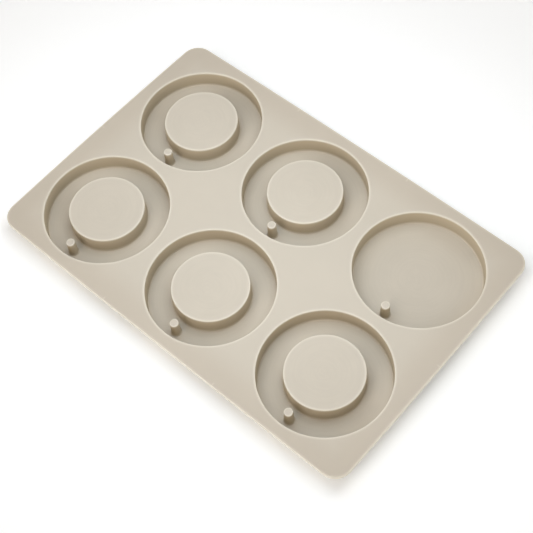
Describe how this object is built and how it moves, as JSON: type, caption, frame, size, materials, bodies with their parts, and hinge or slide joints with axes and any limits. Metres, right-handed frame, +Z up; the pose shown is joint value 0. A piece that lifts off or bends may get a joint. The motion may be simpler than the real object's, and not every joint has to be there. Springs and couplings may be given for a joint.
{
  "type": "silicone casting mould",
  "caption": "Flat silicone tray mould with round cavities in a grid: most cast flat rings round a raised core, one casts a plain disc, and each has a thin hole pin.",
  "frame": {"origin": "middle of the plane that the mould stands on, under the middle of its outline", "axes": "+X along the long side, +Y along the short side from the front row of cavities (the side that every pin is on) to the rear row, +Z up, out of the cavities"},
  "size_m": [0.24, 0.16, 0.012],
  "materials": {
    "silicone": "matt, as moulded"
  },
  "bodies": {
    "root": {"deck": "silicone", "cup_front_left": "silicone", "cup_front_middle": "silicone", "cup_front_right": "silicone", "cup_rear_left": "silicone", "cup_rear_middle": "silicone", "cup_rear_right": "silicone", "core_front_left": "silicone", "core_front_middle": "silicone", "core_front_right": "silicone", "core_rear_left": "silicone", "core_rear_middle": "silicone", "pin_front_left": "silicone", "pin_front_middle": "silicone", "pin_front_right": "silicone", "pin_rear_left": "silicone", "pin_rear_middle": "silicone", "pin_rear_right": "silicone"}
  },
  "joints": []
}
